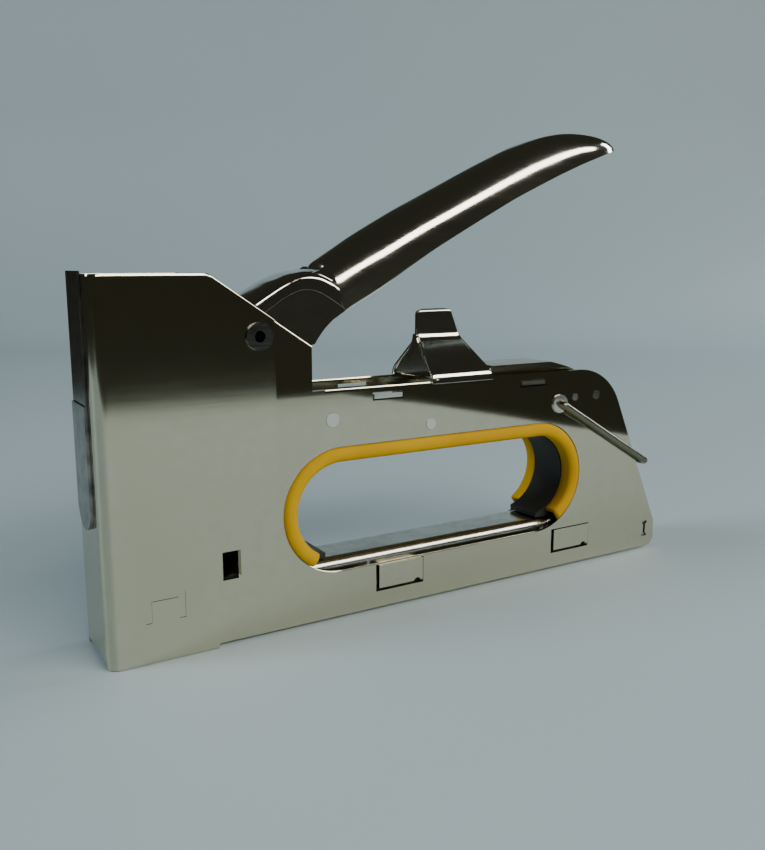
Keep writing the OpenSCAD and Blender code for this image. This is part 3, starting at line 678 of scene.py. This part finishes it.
def stage_point(depth, across):
    """A point of the floor plan at a depth along the view and a distance to its right."""
    ahead = np.array([math.sin(VIEW_YAW), math.cos(VIEW_YAW)])
    right = np.array([ahead[1], -ahead[0]])
    return np.array([-0.0438, -0.1985]) + depth * ahead + across * right


def make_floor():
    """A pale table top that ends near the object in front, and a low curved backdrop.

    The table is one flat outline; the backdrop is a strip along its rear edge that
    sweeps up through a quarter circle to a short upright wall."""
    foot, sweep, rise = 0.95, 0.30, 0.475
    left, right = -0.60, 0.80
    corner_l, corner_r = stage_point(foot, left * foot), stage_point(foot, right * foot)
    plan = [(-0.6, -0.375), (0.34, -0.375), (0.36, -0.14), (0.95, -0.10),
            tuple(corner_r), tuple(corner_l), (-0.05, 0.42), (-0.6, 0.38)]
    me = bpy.data.meshes.new("table_top")
    me.from_pydata([(x, y, 0.0) for x, y in plan], [], [list(range(len(plan)))])
    m = bpy.data.materials.new("pale_floor")
    m.use_nodes = True
    t = m.node_tree
    p = t.nodes["Principled BSDF"]
    p.inputs["Roughness"].default_value = 0.6
    where = add(t, "ShaderNodeTexCoord").outputs["Object"]
    noise = add(t, "ShaderNodeTexNoise", Scale=2.5, Detail=3.0)
    t.links.new(where, noise.inputs["Vector"])
    c = add(t, "ShaderNodeMix", data_type="RGBA")
    c.inputs[6].default_value = (0.43, 0.535, 0.57, 1)
    c.inputs[7].default_value = (0.46, 0.565, 0.60, 1)
    t.links.new(noise.outputs["Fac"], c.inputs[0])
    t.links.new(c.outputs[2], p.inputs["Base Color"])
    me.materials.append(m)
    top = bpy.data.objects.new("table_top", me)
    bpy.context.scene.collection.objects.link(top)
    a = np.linspace(0, math.pi / 2, 40)
    depth = np.concatenate([foot + sweep * np.sin(a), [foot + sweep]])
    z = np.concatenate([sweep - sweep * np.cos(a), [rise]])
    k = np.linspace(left * foot, right * foot, 12)
    grid = np.array([[(*stage_point(d, w), h) for w in k] for d, h in zip(depth, z)])
    wall = surface("backdrop", grid[:, ::-1], m)
    for ob in (top, wall):
        ob.location = (0, 0, -0.0002)


def area(name, where, at, size, power, colour):
    """A rectangular soft light aimed at a point."""
    data = bpy.data.lights.new(name, "AREA")
    data.shape = "RECTANGLE"
    data.size, data.size_y = size
    data.energy = power
    data.color = colour
    ob = bpy.data.objects.new(name, data)
    bpy.context.scene.collection.objects.link(ob)
    ob.location = where
    ob.rotation_mode = "QUATERNION"
    ob.rotation_quaternion = (Vector(at) - Vector(where)).to_track_quat("-Z", "Y")


def make_lights():
    """A long soft window in front and a low cool fill on each side, in a dim room."""
    area("window_front", (0.42, -0.95, 0.72), (0.09, 0.0, 0.08), (1.7, 0.34), 16.0,
         (1.0, 0.97, 0.91))
    area("fill_left", (-1.3, 0.35, 0.95), (0.25, 0.45, 0.05), (0.5, 0.9), 13.0,
         (0.84, 0.94, 1.0))
    area("fill_right", (2.1, 0.05, 0.95), (0.45, 0.45, 0.05), (0.5, 0.9), 16.0,
         (0.84, 0.94, 1.0))
    world = bpy.data.worlds.new("room")
    world.use_nodes = True
    bg = world.node_tree.nodes["Background"]
    bg.inputs["Color"].default_value = (0.026, 0.026, 0.019, 1)
    bg.inputs["Strength"].default_value = 1.0
    bpy.context.scene.world = world


make_floor()
make_lights()
